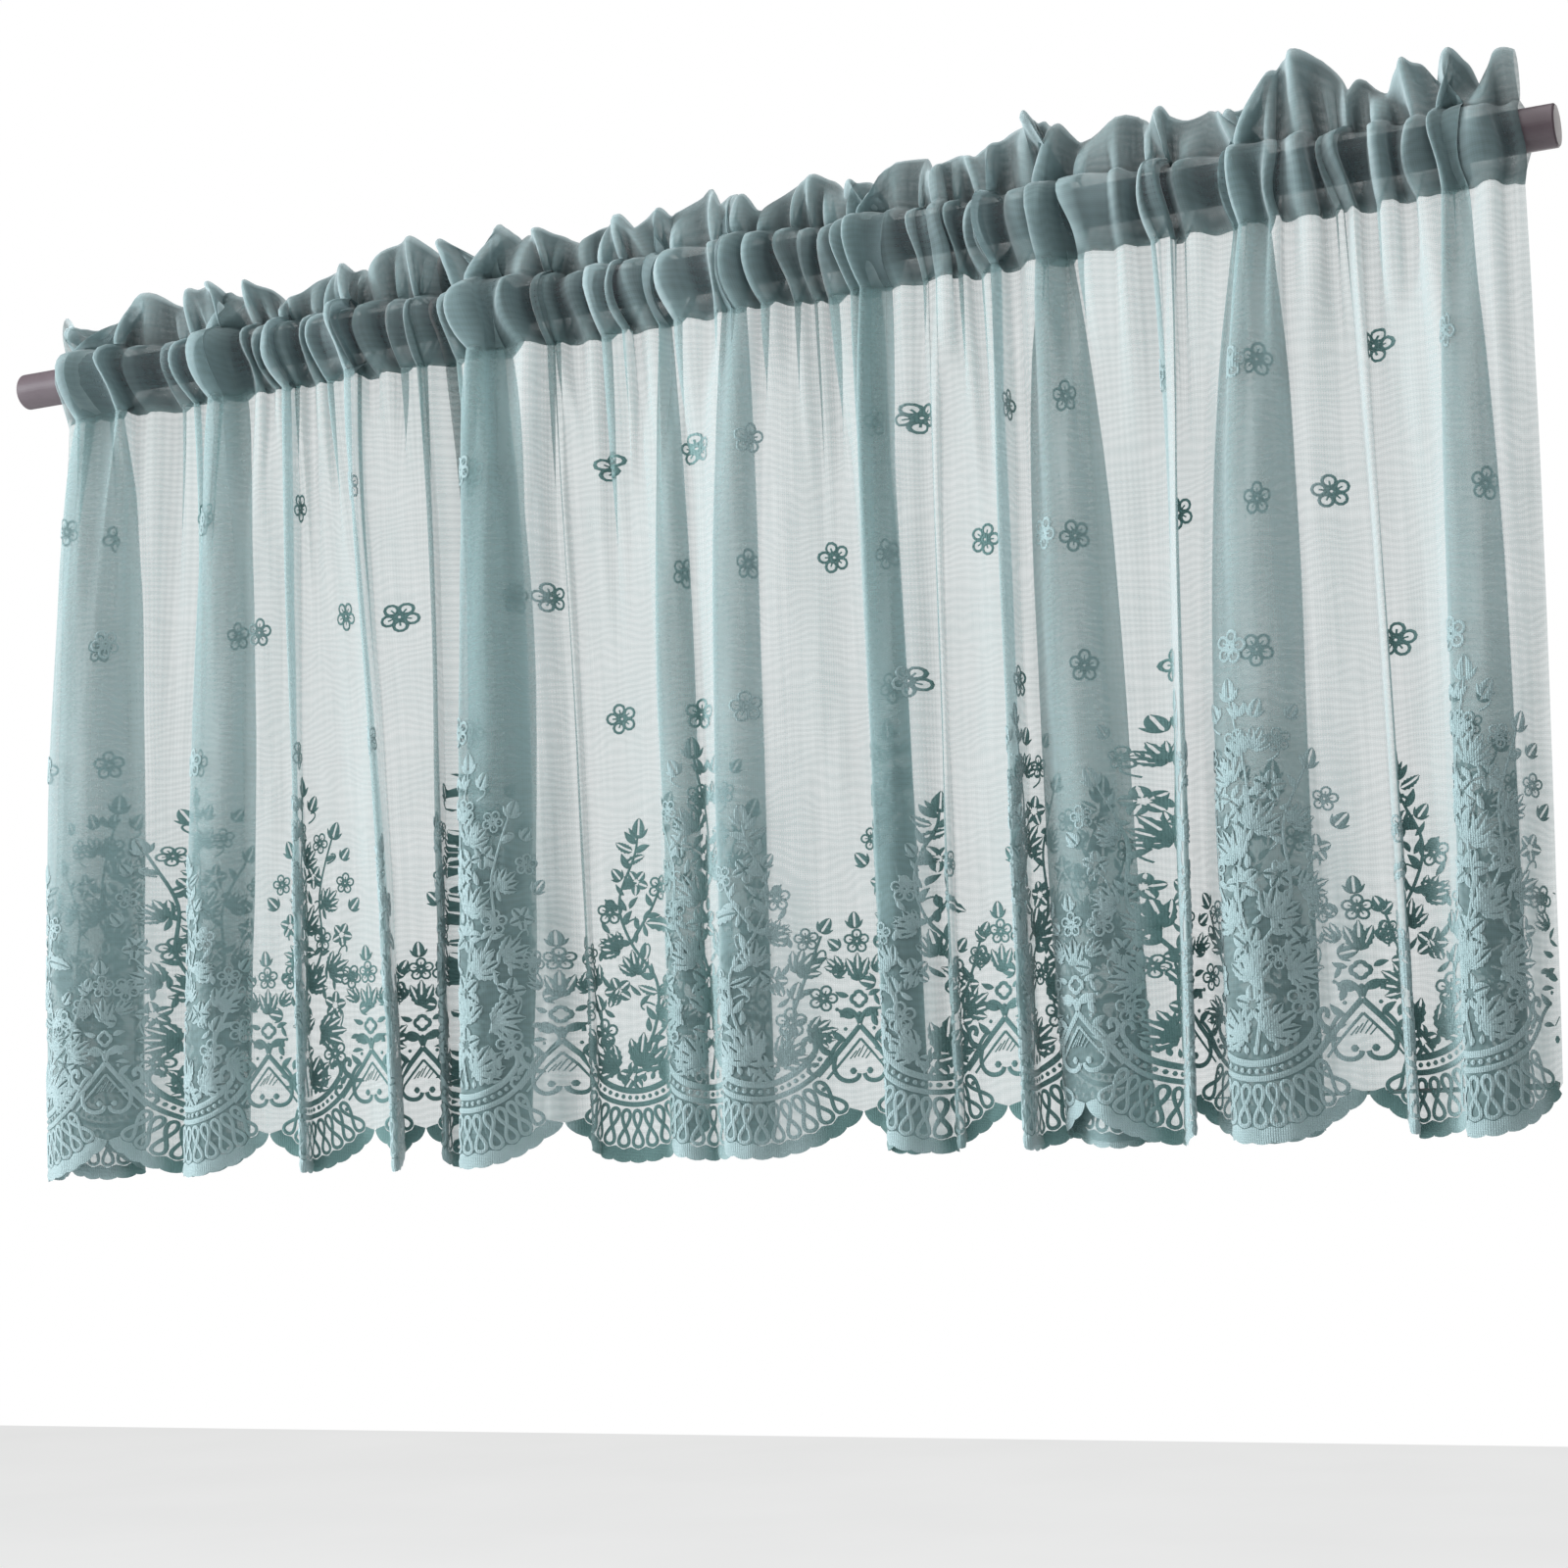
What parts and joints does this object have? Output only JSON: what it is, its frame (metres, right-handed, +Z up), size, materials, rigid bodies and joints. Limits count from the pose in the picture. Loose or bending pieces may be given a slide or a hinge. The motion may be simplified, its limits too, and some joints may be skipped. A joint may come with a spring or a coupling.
{
  "type": "cafe curtain on a rod",
  "caption": "Sheer lace cafe curtain with a ruffled header, a rod pocket and a scalloped flower border, gathered on the round rod that it hangs from.",
  "frame": {"origin": "middle of the rod's left end face, seen from the front", "axes": "+X along the rod towards its right end, +Z up; the front of the cloth faces -Y"},
  "size_m": [1.08, 0.0689, 0.622],
  "materials": {
    "lace": "matte sheer warp-knit lace",
    "rod_paint": "satin"
  },
  "bodies": {
    "root": {"lace_panel": "lace", "rod": "rod_paint"}
  },
  "joints": []
}
